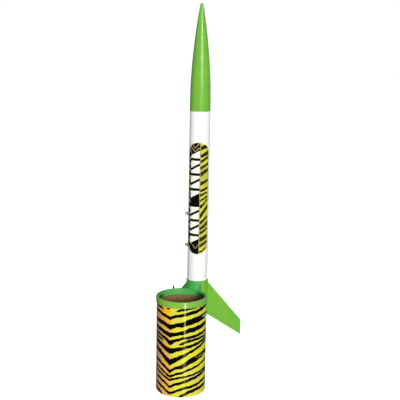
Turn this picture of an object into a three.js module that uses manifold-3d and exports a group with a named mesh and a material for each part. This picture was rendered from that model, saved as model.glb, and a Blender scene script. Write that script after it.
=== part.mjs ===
// A model rocket of the plastic-and-card kind: a slim body tube under a moulded ogive nose,
// two swept fins, and a wide open stabilising tube hung beside the body in a moulded ring.
// Millimetres, +Z towards the nose. The heights below count up from the stabilising tube's
// lower rim and the body tube's axis is x = y = 0; the whole group is then moved so that the
// origin is on the launch rod's axis, at the middle of the lower launch lug.
import * as THREE from 'three';
import { mergeVertices } from 'three/addons/utils/BufferGeometryUtils.js';
import Module from 'manifold-3d';

const wasm = await Module();
wasm.setup();

// ---- driving dimensions --------------------------------------------------------------
const BODY_RADIUS = 12.4;
const BODY_WALL = 0.35;
const BODY_AFT = 80;
const BODY_FORE = 331;
const NOSE_OGIVE_LENGTH = 133;
const NOSE_TIP_RADIUS = 1.9;
const NOSE_WALL = 1.3;
const SHOULDER_LENGTH = 19.5;
const AXIS_DISTANCE = 42.8;
const RING_OUTER_RADIUS = 30.2;
const RING_INNER_RADIUS = 27.6;
const RING_TOP = 115.9;
const RING_HEIGHT = 7.2;
const SLEEVE_WALL = 0.4;
const SLEEVE_FORE = 126;
const SADDLE_WALL = 0.35;
const PEG_HEIGHT = 3.9;
const PEG_ANGLE = 136;
const FIN_ANGLE = 16.3;
const FIN_TIP_RADIUS = 54.8;
const FIN_THICKNESS = 1.3;
const FIN_ROOT_EDGES = [81.4, 123.3];
const FIN_TIP_EDGES = [57.9, 77];
const SADDLE_LOW = 84;
const SADDLE_AHEAD = 62; // degrees that a fin's saddle reaches towards the ring
const SADDLE_BEHIND = 12;
const MOTOR_LENGTH = 70;
const MOTOR_RADIUS = 8.75;
const ROD_RADIUS = 1.6;
const LUG_HEIGHTS = { lower: 167, upper: 206 };

// ---- sizes that follow from them -----------------------------------------------------
const FIT = 0.05; // cemented pieces stay this far apart
const BORE = BODY_RADIUS - BODY_WALL;
const SLEEVE_INNER = BODY_RADIUS + FIT;
const SLEEVE_OUTER = SLEEVE_INNER + SLEEVE_WALL;
const CARD_INNER = RING_INNER_RADIUS + 0.8;
const CARD_OUTER = CARD_INNER + 0.9;
const WRAP_OUTER = CARD_OUTER + FIT + 0.2;
const CARD_TOP = RING_TOP - 0.9;
const MOTOR_TUBE_INNER = 9.03;
const MOTOR_TUBE_OUTER = MOTOR_TUBE_INNER + 0.35;
const MOTOR_AFT = BODY_AFT - 6;
const MOTOR_FORE = MOTOR_AFT + MOTOR_LENGTH;
const GRAIN_RADIUS = 6.4;
const SADDLE_INNER = SLEEVE_OUTER + FIT;
const ROD_X = -(SADDLE_INNER + SADDLE_WALL + ROD_RADIUS + 0.25);
const CAP_TOP = BODY_FORE - SHOULDER_LENGTH;
const EYE_HEIGHT = CAP_TOP - 6.3;
const PACK_RADIUS = 9.4;
const PACK_AFT = 200;
const PACK_FORE = 258;
const CORD_RADIUS = 0.6;
const CORD_TRACK = 10.8;

const SIDES = 36;
const WIDE_SIDES = 48;
const degrees = THREE.MathUtils.degToRad;

// ---- helpers -------------------------------------------------------------------------

/** A solid of revolution about +Z from [radius, height] pairs, anticlockwise with +Z up. */
function revolve(profile, sides = SIDES) {
  const points = profile.map(([radius, height]) => new THREE.Vector2(radius, height));
  return new THREE.LatheGeometry(points, sides).rotateX(Math.PI / 2);
}

/** A plain tube about +Z. */
function tube(inner, outer, low, high, sides = SIDES) {
  return revolve([[inner, low], [outer, low], [outer, high], [inner, high], [inner, low]], sides);
}

/** A plain solid cylinder about +Z. */
function plug(radius, low, high, sides = SIDES) {
  return revolve([[0, low], [radius, low], [radius, high], [0, high]], sides);
}

/** A patch of a cylinder's wall, thick outwards, whose lower and upper edges may vary by angle. */
function wallPatch(radius, thickness, fromAngle, toAngle, lowEdge, highEdge, columns) {
  const geometry = new THREE.BoxGeometry(1, 1, 1, columns, 1, 1);
  const position = geometry.attributes.position;
  for (let i = 0; i < position.count; i += 1) {
    const angle = THREE.MathUtils.lerp(fromAngle, toAngle, position.getX(i) + 0.5);
    const height = THREE.MathUtils.lerp(lowEdge(angle), highEdge(angle), position.getY(i) + 0.5);
    const distance = radius + thickness * (position.getZ(i) + 0.5);
    const turn = degrees(angle);
    position.setXYZ(i, distance * Math.cos(turn), distance * Math.sin(turn), height);
  }
  return geometry;
}

/** A round cord along a smooth curve through points. */
function cord(points, radius, steps) {
  const section = new THREE.Shape().absarc(0, 0, radius, 0, 2 * Math.PI);
  const path = new THREE.CatmullRomCurve3(points, false, 'centripetal');
  return new THREE.ExtrudeGeometry(section, { extrudePath: path, steps, curveSegments: 4 });
}

function toManifold(geometry) {
  const bare = geometry.clone();
  bare.deleteAttribute('normal');
  bare.deleteAttribute('uv');
  const merged = mergeVertices(bare, 1e-4);
  return new wasm.Manifold(new wasm.Mesh({
    numProp: 3,
    vertProperties: new Float32Array(merged.attributes.position.array),
    triVerts: new Uint32Array(merged.index.array),
  }));
}

function fromManifold(solid) {
  const { vertProperties, triVerts } = solid.getMesh();
  const geometry = new THREE.BufferGeometry();
  geometry.setAttribute('position', new THREE.BufferAttribute(vertProperties, 3));
  geometry.setIndex(new THREE.BufferAttribute(triVerts, 1));
  return geometry;
}

/** One solid out of several that overlap. */
function join(geometries) {
  const solids = geometries.map(toManifold);
  return fromManifold(solids.reduce((whole, next) => whole.add(next)));
}

function cut(geometry, tool) {
  return fromManifold(toManifold(geometry).subtract(toManifold(tool)));
}

function material(colour, roughness, metalness = 0) {
  return new THREE.MeshStandardMaterial({ color: colour, roughness, metalness });
}

const finish = {
  lime: () => material('#78b941', 0.35),
  white: () => material('#f2f2f2', 0.4),
  grey: () => material('#9a9a9a', 0.5),
  card: () => material('#7d5c34', 0.9),
  paper: () => material('#d9cdb4', 0.9),
  print: () => material('#e8df3c', 0.3),
  label: () => material('#26241c', 0.3),
  clay: () => material('#a39a8c', 0.95),
  grain: () => material('#2b2b2b', 0.95),
  film: () => material('#e8762a', 0.4),
  cord: () => material('#efefe8', 0.8),
};

const rocket = new THREE.Group();
const stabiliser = new THREE.Group();
stabiliser.position.y = -AXIS_DISTANCE;
rocket.add(stabiliser);

function piece(name, geometry, surface, parent = rocket) {
  const mesh = new THREE.Mesh(geometry, surface);
  mesh.name = name;
  parent.add(mesh);
}

// ---- nose ----------------------------------------------------------------------------

/** Points of the ogive, tip first, moved inwards by inset: a tangent ogive with a round tip. */
function ogive(inset, steps) {
  const arcRadius = (BODY_RADIUS ** 2 + NOSE_OGIVE_LENGTH ** 2) / (2 * BODY_RADIUS);
  const centreRadius = BODY_RADIUS - arcRadius;
  const tipCentre = Math.sqrt((arcRadius - NOSE_TIP_RADIUS) ** 2 - centreRadius ** 2);
  const meeting = Math.asin(tipCentre / (arcRadius - NOSE_TIP_RADIUS));
  const tipRadius = Math.max(NOSE_TIP_RADIUS - inset, 0.3);
  const points = [];
  for (let i = 0; i < 4; i += 1) {
    const turn = Math.PI / 2 + (meeting - Math.PI / 2) * (i / 4);
    points.push([tipRadius * Math.cos(turn), BODY_FORE + tipCentre + tipRadius * Math.sin(turn)]);
  }
  for (let i = 0; i <= steps; i += 1) {
    const turn = meeting * (1 - i / steps);
    const radius = centreRadius + (arcRadius - inset) * Math.cos(turn);
    points.push([radius, BODY_FORE + (arcRadius - inset) * Math.sin(turn)]);
  }
  points[0][0] = 0;
  return points;
}

function noseCone() {
  const shoulder = BORE - 0.1;
  const shoulderInner = shoulder - NOSE_WALL;
  const outside = ogive(0, 13);
  const inside = ogive(NOSE_WALL, 6).filter(([radius]) => radius > NOSE_TIP_RADIUS);
  inside[inside.length - 1] = [shoulderInner, BODY_FORE];
  const hollowTip = [0, inside[0][1] + 1];
  return revolve([
    hollowTip,
    ...inside,
    [shoulderInner, CAP_TOP],
    [shoulder, CAP_TOP],
    [shoulder, BODY_FORE],
    ...outside.reverse(),
  ]);
}

/** The plug in the nose's open base: a flange, a hollow spigot and the eye for the lines. */
function noseBaseCap() {
  const flange = BORE - 0.15;
  const spigot = BORE - 0.1 - NOSE_WALL - 0.1;
  const low = CAP_TOP - 1.7;
  const high = CAP_TOP - 0.1;
  const cup = revolve([
    [0, low],
    [flange, low],
    [flange, high],
    [spigot, high],
    [spigot, high + 6],
    [spigot - 1.2, high + 6],
    [spigot - 1.2, high],
    [0, high],
  ]);
  const across = 3.6;
  const eye = cord([
    new THREE.Vector3(-across, 0, low + 0.6),
    new THREE.Vector3(-across, 0, EYE_HEIGHT),
    new THREE.Vector3(-across * 0.7, 0, EYE_HEIGHT - across * 0.7),
    new THREE.Vector3(0, 0, EYE_HEIGHT - across),
    new THREE.Vector3(across * 0.7, 0, EYE_HEIGHT - across * 0.7),
    new THREE.Vector3(across, 0, EYE_HEIGHT),
    new THREE.Vector3(across, 0, low + 0.6),
  ], 0.9, 14);
  return join([cup, eye]);
}

piece('nose_cone', noseCone(), finish.lime());
piece('nose_base_cap', noseBaseCap(), finish.lime());

// ---- body tube, its label and the launch lugs ----------------------------------------

const LABEL_LOW = 159.5;
const LABEL_HIGH = 294.5;
const LABEL_END = 12;
const LABEL_CENTRE = 291;
const LABEL_HALF_ANGLE = 63;

/** A label round the front of the tube, with elliptical ends. */
function bodyLabel() {
  const from = LABEL_CENTRE - LABEL_HALF_ANGLE;
  const to = LABEL_CENTRE + LABEL_HALF_ANGLE;
  const rounding = (angle) => {
    const across = Math.min(Math.abs(angle - LABEL_CENTRE) / LABEL_HALF_ANGLE, 1);
    return LABEL_END * (1 - Math.sqrt(1 - across ** 2));
  };
  const low = (angle) => LABEL_LOW + rounding(angle);
  const high = (angle) => LABEL_HIGH - rounding(angle);
  return wallPatch(BODY_RADIUS + FIT, 0.1, from, to, low, high, 30);
}

/** A short eye for the launch rod on a foot that is cemented to the tube. */
function launchLug(height) {
  const eye = tube(ROD_RADIUS + 0.2, ROD_RADIUS + 0.7, height - 1.75, height + 1.75, 24);
  eye.translate(ROD_X, 0, 0);
  const foot = wallPatch(
    BODY_RADIUS + 0.06, 0.8, 171, 189, () => height - 2.5, () => height + 2.5, 4,
  );
  const rodWay = plug(ROD_RADIUS + 0.2, height - 5, height + 5, 24).translate(ROD_X, 0, 0);
  return cut(join([eye, foot]), rodWay);
}

piece('body_tube', tube(BORE, BODY_RADIUS, BODY_AFT, BODY_FORE - 0.1), finish.white());
piece('body_label', bodyLabel(), finish.label());
for (const [place, height] of Object.entries(LUG_HEIGHTS)) {
  piece(`launch_lug_${place}`, launchLug(height), finish.grey());
}

// ---- fin can, fins and stabilising tube ----------------------------------------------

const WEB_HALF_WIDTH = 8.6;

/** The web between sleeve and ring, sloping up to the sleeve, with the tubes' ways cut out. */
function web(low, roof) {
  const front = RING_OUTER_RADIUS - AXIS_DISTANCE - 1.6;
  const back = front + 5.2;
  const section = new THREE.Shape([
    new THREE.Vector2(front, low),
    new THREE.Vector2(back, low),
    new THREE.Vector2(back, SLEEVE_FORE - 3.4),
    new THREE.Vector2(front, RING_TOP - 0.4),
  ]);
  const block = new THREE.ExtrudeGeometry(section, { depth: 2 * WEB_HALF_WIDTH, bevelEnabled: false })
    .translate(0, 0, -WEB_HALF_WIDTH)
    .rotateX(Math.PI / 2)
    .rotateZ(Math.PI / 2);
  const bodyWay = plug(SLEEVE_INNER, BODY_AFT, SLEEVE_FORE + 1);
  const cardWay = plug(RING_OUTER_RADIUS - 0.3, 0, roof + 0.3, WIDE_SIDES)
    .translate(0, -AXIS_DISTANCE, 0);
  return cut(cut(block, bodyWay), cardWay);
}

/** The sleeve round the body tube, the ring that caps the stabilising tube and a web between. */
function finCan() {
  const ringLow = RING_TOP - RING_HEIGHT;
  const sleeve = tube(SLEEVE_INNER, SLEEVE_OUTER, BODY_AFT + 0.4, SLEEVE_FORE);
  const roof = RING_TOP - 0.8;
  const channelInner = RING_INNER_RADIUS + 0.7;
  const channelOuter = RING_OUTER_RADIUS - 0.55;
  const ring = revolve([
    [RING_INNER_RADIUS, ringLow],
    [channelInner, ringLow],
    [channelInner, roof],
    [channelOuter, roof],
    [channelOuter, ringLow],
    [RING_OUTER_RADIUS, ringLow],
    [RING_OUTER_RADIUS, RING_TOP - 0.5],
    [RING_OUTER_RADIUS - 0.5, RING_TOP],
    [RING_INNER_RADIUS + 0.5, RING_TOP],
    [RING_INNER_RADIUS, RING_TOP - 0.5],
    [RING_INNER_RADIUS, ringLow],
  ], WIDE_SIDES).translate(0, -AXIS_DISTANCE, 0);
  const pegTurn = degrees(PEG_ANGLE);
  const pegTrack = RING_OUTER_RADIUS - 1.2;
  const peg = plug(1.1, roof + 0.2, RING_TOP + PEG_HEIGHT, 12).translate(
    pegTrack * Math.cos(pegTurn), pegTrack * Math.sin(pegTurn) - AXIS_DISTANCE, 0,
  );
  return join([sleeve, ring, peg, web(ringLow + 0.6, roof)]);
}

/** One fin plate with the saddle that cements it to the sleeve; side is +1 or -1 along X. */
function fin(side) {
  const root = SLEEVE_OUTER + 0.1;
  const outline = new THREE.Shape([
    new THREE.Vector2(root, FIN_ROOT_EDGES[0]),
    new THREE.Vector2(FIN_TIP_RADIUS, FIN_TIP_EDGES[0]),
    new THREE.Vector2(FIN_TIP_RADIUS, FIN_TIP_EDGES[1]),
    new THREE.Vector2(root, FIN_ROOT_EDGES[1]),
  ]);
  const turn = side > 0 ? FIN_ANGLE : 180 - FIN_ANGLE;
  const plate = new THREE.ExtrudeGeometry(outline, { depth: FIN_THICKNESS, bevelEnabled: false })
    .translate(0, 0, -FIN_THICKNESS / 2)
    .rotateX(Math.PI / 2)
    .rotateZ(degrees(turn));
  const top = SLEEVE_FORE - 0.4;
  const edge = (angle) => {
    const away = (turn - angle) * side;
    const share = away > 0 ? away / SADDLE_AHEAD : -away / SADDLE_BEHIND;
    return THREE.MathUtils.lerp(SADDLE_LOW, RING_TOP - 5.9, Math.min(share, 1));
  };
  const from = side > 0 ? turn - SADDLE_AHEAD : turn - SADDLE_BEHIND;
  const to = from + SADDLE_AHEAD + SADDLE_BEHIND;
  const saddle = wallPatch(SADDLE_INNER, SADDLE_WALL, from, to, edge, () => top, 16);
  return join([plate, saddle]);
}

piece('fin_can', finCan(), finish.lime());
piece('fin_right', fin(1), finish.lime());
piece('fin_left', fin(-1), finish.lime());
piece('stabiliser_tube', tube(CARD_INNER, CARD_OUTER, 0, CARD_TOP, WIDE_SIDES), finish.card(), stabiliser);
piece(
  'stabiliser_wrap',
  tube(CARD_OUTER + FIT, WRAP_OUTER, 0.3, CARD_TOP, WIDE_SIDES),
  finish.print(),
  stabiliser,
);

// ---- motor mount and motor -----------------------------------------------------------

const THRUST_RING_LOW = MOTOR_FORE + 0.2;
const CENTERING_LOWS = { aft: BODY_AFT + 2, forward: MOTOR_FORE - 4 };

piece(
  'motor_tube',
  tube(MOTOR_TUBE_INNER, MOTOR_TUBE_OUTER, BODY_AFT, THRUST_RING_LOW + 6),
  finish.paper(),
);
piece(
  'thrust_ring',
  tube(7.4, MOTOR_TUBE_INNER - FIT, THRUST_RING_LOW, THRUST_RING_LOW + 5),
  finish.paper(),
);
for (const [place, low] of Object.entries(CENTERING_LOWS)) {
  piece(
    `centering_ring_${place}`,
    tube(MOTOR_TUBE_OUTER + FIT, BORE - FIT, low, low + 3),
    finish.card(),
  );
}

/** The clay nozzle, with a throat between two cones. */
function nozzle(low, high) {
  const throat = low + (high - low) * 0.55;
  return revolve([
    [3.4, low],
    [GRAIN_RADIUS, low],
    [GRAIN_RADIUS, high],
    [2.4, high],
    [1.6, throat],
    [3.4, low],
  ]);
}

const stack = [
  { name: 'propellant_grain', length: 23, surface: finish.grain },
  { name: 'delay_grain', length: 13, surface: finish.clay },
  { name: 'ejection_charge', length: 6, surface: finish.grain },
  { name: 'ejection_cap', length: 2, surface: finish.clay },
];
const NOZZLE_LOW = MOTOR_AFT + 1;
const NOZZLE_HIGH = NOZZLE_LOW + 8;

piece(
  'motor_casing',
  tube(GRAIN_RADIUS + FIT, MOTOR_RADIUS, MOTOR_AFT, MOTOR_FORE),
  finish.paper(),
);
piece('motor_nozzle', nozzle(NOZZLE_LOW, NOZZLE_HIGH), finish.clay());
let stackLow = NOZZLE_HIGH + FIT;
for (const { name, length, surface } of stack) {
  piece(name, plug(GRAIN_RADIUS, stackLow, stackLow + length), surface());
  stackLow += length + FIT;
}
piece(
  'motor_friction_tape',
  tube(MOTOR_RADIUS + FIT, MOTOR_TUBE_INNER - FIT, BODY_AFT + 4, BODY_AFT + 22),
  finish.paper(),
);

// ---- recovery gear -------------------------------------------------------------------

const WAD_RADIUS = 10.8;
const WAD_HALF_HEIGHT = 6.6;
['lower', 'middle', 'upper'].forEach((place, i) => {
  const wad = new THREE.SphereGeometry(1, 16, 8).rotateX(Math.PI / 2);
  wad.scale(WAD_RADIUS, WAD_RADIUS, WAD_HALF_HEIGHT);
  wad.translate(0, 0, THRUST_RING_LOW + 13.5 + 2 * i * (WAD_HALF_HEIGHT + 0.2));
  piece(`recovery_wadding_${place}`, wad, finish.cord());
});

piece('parachute_canopy', plug(PACK_RADIUS, PACK_AFT, PACK_FORE, 32), finish.film());

const onTrack = (angle, height, track) => new THREE.Vector3(
  track * Math.cos(degrees(angle)), track * Math.sin(degrees(angle)), height,
);

/** The shroud lines: a winding round the rolled canopy and a leader tied through the eye. */
function shroudLines() {
  const winding = tube(PACK_RADIUS + 0.06, PACK_RADIUS + 0.66, PACK_AFT + 12, PACK_AFT + 26, 32);
  const hole = 1.2;
  const leader = cord([
    onTrack(270, PACK_AFT + 20, PACK_RADIUS + 0.55),
    onTrack(270, PACK_AFT + 40, PACK_RADIUS + 0.75),
    onTrack(270, PACK_FORE - 1, PACK_RADIUS + 0.75),
    new THREE.Vector3(hole, -7.5, PACK_FORE + 8),
    new THREE.Vector3(hole, -3.4, PACK_FORE + 26),
    new THREE.Vector3(hole, -2.6, EYE_HEIGHT - 4),
    new THREE.Vector3(hole, 0, EYE_HEIGHT - 0.6),
    new THREE.Vector3(hole, 2.2, EYE_HEIGHT - 4),
    new THREE.Vector3(hole, 0.4, EYE_HEIGHT - 7.5),
    new THREE.Vector3(hole, -2.3, EYE_HEIGHT - 8.6),
  ], 0.45, 40);
  const knot = new THREE.SphereGeometry(1.15, 8, 6).translate(hole, -2.6, EYE_HEIGHT - 8.6);
  return join([winding, leader, knot]);
}

const CORD_FIRST_ANGLE = 45;
const CORD_RUNS = 5;
const CORD_LOW = PACK_AFT + 21.5;
const CORD_HIGH = PACK_FORE - 2;

/** The elastic shock cord: folded along the tube's wall, then over the pack to the eye. */
function shockCord() {
  const points = [];
  for (let run = 0; run < CORD_RUNS; run += 1) {
    const angle = CORD_FIRST_ANGLE + 15 * run;
    const ends = run % 2 === 0 ? [CORD_LOW, CORD_HIGH] : [CORD_HIGH, CORD_LOW];
    for (const share of [0, 0.5, 1]) {
      points.push(onTrack(angle, THREE.MathUtils.lerp(...ends, share), CORD_TRACK));
    }
  }
  const hole = -1.2;
  const leader = [
    onTrack(105, PACK_FORE + 8, 8.4),
    new THREE.Vector3(hole, 4.4, PACK_FORE + 24),
    new THREE.Vector3(hole, 2.8, EYE_HEIGHT - 5),
    new THREE.Vector3(hole, 0, EYE_HEIGHT - 0.8),
    new THREE.Vector3(hole, -2.3, EYE_HEIGHT - 4.5),
    new THREE.Vector3(hole, -0.6, EYE_HEIGHT - 9),
    new THREE.Vector3(hole, 3, EYE_HEIGHT - 11),
  ];
  const line = cord([...points, ...leader], CORD_RADIUS, 96);
  const knot = new THREE.SphereGeometry(1.5, 8, 6).translate(hole, 3.4, EYE_HEIGHT - 11);
  return join([line, knot]);
}

piece('shroud_lines', shroudLines(), finish.cord());
piece('shock_cord', shockCord(), finish.cord());
piece(
  'shock_cord_mount',
  wallPatch(
    BORE - 0.75, 0.65, CORD_FIRST_ANGLE - 34, CORD_FIRST_ANGLE + 34,
    () => PACK_AFT + 1, () => PACK_AFT + 20.5, 10,
  ),
  finish.paper(),
);

rocket.position.set(-ROD_X, 0, -LUG_HEIGHTS.lower);

export default rocket;
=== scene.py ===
"""A model rocket: white paper body, lime nose and fins, and a wide striped stabilising tube.

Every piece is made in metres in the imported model's frame: +Z along the body to the nose, and
-Y from the body towards the stabilising tube. Angles are measured from +X, anticlockwise as
seen from the nose, and the azimuths of the lights and the camera from -Y, the same way round.
"""
import math

import bmesh
import bpy
import numpy as np
from mathutils import Matrix, Vector, noise


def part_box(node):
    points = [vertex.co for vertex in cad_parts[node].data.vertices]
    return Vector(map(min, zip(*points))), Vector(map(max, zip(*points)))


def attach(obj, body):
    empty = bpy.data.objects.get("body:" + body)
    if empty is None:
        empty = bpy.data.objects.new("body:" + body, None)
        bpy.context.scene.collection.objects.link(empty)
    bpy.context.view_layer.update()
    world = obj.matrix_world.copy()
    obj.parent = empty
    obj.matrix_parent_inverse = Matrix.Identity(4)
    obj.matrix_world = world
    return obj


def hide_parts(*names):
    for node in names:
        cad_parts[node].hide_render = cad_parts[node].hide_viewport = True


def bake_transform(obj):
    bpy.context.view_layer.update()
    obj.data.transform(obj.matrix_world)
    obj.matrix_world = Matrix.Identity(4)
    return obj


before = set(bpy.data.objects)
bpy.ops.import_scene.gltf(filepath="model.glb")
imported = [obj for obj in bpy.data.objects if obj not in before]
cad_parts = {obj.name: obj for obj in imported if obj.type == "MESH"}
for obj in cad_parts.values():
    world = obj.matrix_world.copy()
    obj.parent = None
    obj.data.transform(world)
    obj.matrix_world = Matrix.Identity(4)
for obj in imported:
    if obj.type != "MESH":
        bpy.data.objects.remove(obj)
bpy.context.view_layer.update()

MM = 0.001
TURN = 2 * math.pi

# ---- sizes taken from the frame ------------------------------------------------------


def centre_and_radius(node):
    """The axis (x, y) and the outer radius of an upright round node."""
    low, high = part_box(node)
    return ((low.x + high.x) / 2, (low.y + high.y) / 2), (high.x - low.x) / 2


def heights(node):
    """A node's lowest and highest point, in metres."""
    low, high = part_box(node)
    return low.z, high.z


BODY_AXIS, BODY_RADIUS = centre_and_radius("body_tube")
CARD_AXIS, CARD_OUTER = centre_and_radius("stabiliser_tube")
WRAP_OUTER = centre_and_radius("stabiliser_wrap")[1]
BODY_AFT, BODY_FORE = heights("body_tube")
CARD_LOW, CARD_TOP = heights("stabiliser_tube")
RIM = CARD_LOW  # heights on the stabilising tube and its wrap count up from this rim

FIT = 0.05 * MM  # cemented pieces stay this far apart
BODY_WALL = 0.35 * MM
BODY_BORE = BODY_RADIUS - BODY_WALL
CARD_WALL = 0.9 * MM
SLEEVE_INNER = BODY_RADIUS + FIT
SLEEVE_OUTER = SLEEVE_INNER + 0.4 * MM
SLEEVE_TOP = RIM + 126 * MM
RING_OUTER = (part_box("fin_can")[1].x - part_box("fin_can")[0].x) / 2
RING_INNER = RING_OUTER - 2.6 * MM
RING_TOP = RIM + 115.9 * MM
RING_HEIGHT = 7.2 * MM
WEB_HALF_WIDTH = 8.6 * MM
WEB_FRONT = BODY_AXIS[1] - 14.2 * MM

MAIN_AZIMUTH = 40  # the main light's, in degrees


def above_rim(height):
    """A height in the frame as millimetres above the rim."""
    return (height - RIM) / MM


def outward(angle):
    """The level direction at an angle in degrees."""
    turn = math.radians(angle)
    return Vector((math.cos(turn), math.sin(turn), 0))


# ---- shapes --------------------------------------------------------------------------


def soften(corners, radius, steps=4):
    """A closed outline with its corners rounded, by at most a third of their shorter side."""
    outline = []
    count = len(corners)
    for i, corner in enumerate(corners):
        here = Vector(corner)
        before = Vector(corners[i - 1]) - here
        after = Vector(corners[(i + 1) % count]) - here
        reach = min(radius, before.length / 3, after.length / 3)
        start = here + before.normalized() * reach
        end = here + after.normalized() * reach
        for k in range(steps + 1):
            t = k / steps
            point = start * (1 - t) ** 2 + here * (2 * t * (1 - t)) + end * t * t
            outline.append((max(point.x, 0.0), point.y))
    return outline


def lathe(profile, sides, axis):
    """A closed outline of (radius, height) turned about an upright axis."""
    vertices, faces, rows = [], [], []
    for radius, height in profile:
        if radius < 1e-7:
            rows.append([len(vertices)] * sides)
            vertices.append((axis[0], axis[1], height))
            continue
        rows.append(list(range(len(vertices), len(vertices) + sides)))
        for k in range(sides):
            turn = TURN * k / sides
            x = axis[0] + radius * math.cos(turn)
            y = axis[1] + radius * math.sin(turn)
            vertices.append((x, y, height))
    for low, high in zip(rows, rows[1:] + rows[:1]):
        for k in range(sides):
            after = (k + 1) % sides
            corners = list(dict.fromkeys((low[k], low[after], high[after], high[k])))
            if len(corners) > 2:
                faces.append(corners)
    return vertices, faces


def pipe(inner, outer, low, high, sides, axis, edge=0.15 * MM):
    """An upright tube with rounded rims."""
    corners = [(inner, low), (outer, low), (outer, high), (inner, high)]
    return lathe(soften(corners, edge), sides, axis)


def plug(radius, low, high, sides, axis):
    """A plain upright cylinder, used to cut a bore."""
    return lathe([(0.0, low), (radius, low), (radius, high), (0.0, high)], sides, axis)


def off_path(points):
    """For each point of a path, two directions across it that turn as little as they can."""
    side = Vector((1, 0, 0))
    found = []
    for i in range(len(points)):
        along = points[min(i + 1, len(points) - 1)] - points[max(i - 1, 0)]
        along.normalize()
        side = (side - along * side.dot(along)).normalized()
        found.append((side, along.cross(side)))
    return found


def sweep(points, radius, sides=12, relief=None):
    """A round cord along a line of points, closed at both ends.

    relief(i, turn) scales the radius round the i-th point, as a braid does."""
    vertices, faces = [], []
    for i, (point, (side, up)) in enumerate(zip(points, off_path(points))):
        for k in range(sides):
            turn = TURN * k / sides
            reach = radius * relief(i, turn) if relief else radius
            vertices.append(point + (side * math.cos(turn) + up * math.sin(turn)) * reach)
    for i in range(len(points) - 1):
        for k in range(sides):
            a, b = i * sides + k, i * sides + (k + 1) % sides
            faces.append((a, b, b + sides, a + sides))
    faces.append(tuple(range(sides))[::-1])
    faces.append(tuple(range(len(vertices) - sides, len(vertices))))
    return vertices, faces


def smooth_path(knots, step):
    """Points about a step apart on a smooth curve through the knots."""
    knots = [Vector(k) for k in knots]
    padded = [2 * knots[0] - knots[1], *knots, 2 * knots[-1] - knots[-2]]
    path = []
    for p0, p1, p2, p3 in zip(padded, padded[1:], padded[2:], padded[3:]):
        count = max(1, round((p2 - p1).length / step))
        for k in range(count):
            t = k / count
            bend = (2 * p0 - 5 * p1 + 4 * p2 - p3) * t * t
            twist = (3 * p1 - p0 - 3 * p2 + p3) * t ** 3
            path.append((2 * p1 + (p2 - p0) * t + bend + twist) / 2)
    path.append(knots[-1])
    return path


def merge(shapes):
    """Several closed shapes as one."""
    vertices, faces = [], []
    for more_vertices, more_faces in shapes:
        base = len(vertices)
        vertices += more_vertices
        faces += [tuple(base + k for k in face) for face in more_faces]
    return vertices, faces


def twisted(points, strands, offset, lay):
    """The paths of strands laid round a path, with a full turn in each length of lay."""
    paths = [[] for _ in range(strands)]
    travelled = 0.0
    for i, (point, (side, up)) in enumerate(zip(points, off_path(points))):
        travelled += (point - points[max(i - 1, 0)]).length
        for k, path in enumerate(paths):
            turn = TURN * (k / strands + travelled / lay)
            path.append(point + (side * math.cos(turn) + up * math.sin(turn)) * offset)
    return paths


def shell(columns, rows, place):
    """A closed plate; place(u, v, skin) gives the points of its skins, 0 inside and 1 outside."""
    vertices, faces = [], []
    for i in range(columns + 1):
        for skin in (0, 1):
            vertices += [place(i / columns, j / rows, skin) for j in range(rows + 1)]
    ring = [*range(rows + 1), *range(2 * rows + 1, rows, -1)]
    stride = len(ring)
    for i in range(columns):
        a, b = stride * i, stride * (i + 1)
        for p, q in zip(ring, ring[1:] + ring[:1]):
            faces.append((a + p, a + q, b + q, b + p))
    faces.append(tuple(ring))
    faces.append(tuple(stride * columns + k for k in ring))
    return vertices, faces


def roll(inner, pitch, turns, thickness, edges, columns, rows, waver=0.0):
    """A strip rolled up about the body's axis; edges(turned) gives its lower and upper height.

    waver is how far the layers wander in and out together, by angle and by height."""
    def place(u, v, skin):
        turned = turns * u
        low, high = edges(turned)
        height = low + (high - low) * v
        way = Vector((math.cos(TURN * turned), math.sin(TURN * turned), 0))
        ripple = noise.noise(way * 2.2 + Vector((0, 0, height * 130)))
        radius = inner + pitch * turned + skin * thickness + waver * ripple * u
        return Vector((*BODY_AXIS, height)) + way * radius

    return shell(round(columns * turns), rows, place)


def knot(centre, size, radius, sides=12, relief=None):
    """An overhand knot in a cord, with two short tails."""
    centre = Vector(centre)
    path = []
    for k in range(61):
        t = TURN * (0.02 + 0.95 * k / 60)
        swell = 1 + 0.5 * (abs(k - 30) / 30) ** 12
        x = math.sin(t) + 2 * math.sin(2 * t)
        y = math.cos(t) - 2 * math.cos(2 * t)
        path.append(centre + Vector((x, y, -1.4 * math.sin(3 * t))) * swell * size / 3)
    return sweep(path, radius, sides, relief)


def wall_patch(inner, outer, angles, low, high, columns):
    """A plate bent round the body tube; low and high give its edges' heights by angle."""
    vertices, faces = [], []
    for i in range(columns + 1):
        angle = angles[0] + (angles[1] - angles[0]) * i / columns
        x, y = math.cos(math.radians(angle)), math.sin(math.radians(angle))
        for radius in (inner, outer):
            for height in (low(angle), high(angle)):
                vertices.append((BODY_AXIS[0] + radius * x, BODY_AXIS[1] + radius * y, height))
    for i in range(columns):
        a, b = 4 * i, 4 * i + 4
        for p, q in ((0, 1), (1, 3), (3, 2), (2, 0)):
            faces.append((a + p, a + q, b + q, b + p))
    faces.append((0, 1, 3, 2))
    faces.append(tuple(4 * columns + k for k in (0, 1, 3, 2)))
    return vertices, faces


def to_mesh(name, shape):
    """A mesh from vertices and faces, with doubles merged and its faces turned outwards."""
    mesh = bpy.data.meshes.new(name)
    mesh.from_pydata([tuple(v) for v in shape[0]], [], shape[1])
    work = bmesh.new()
    work.from_mesh(mesh)
    bmesh.ops.remove_doubles(work, verts=work.verts, dist=1e-7)
    bmesh.ops.recalc_face_normals(work, faces=work.faces)
    work.to_mesh(mesh)
    work.free()
    return mesh


def add(name, data):
    """An object in the scene that shows a mesh, a light or a camera."""
    made = bpy.data.objects.new(name, data)
    bpy.context.collection.objects.link(made)
    return made


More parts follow.
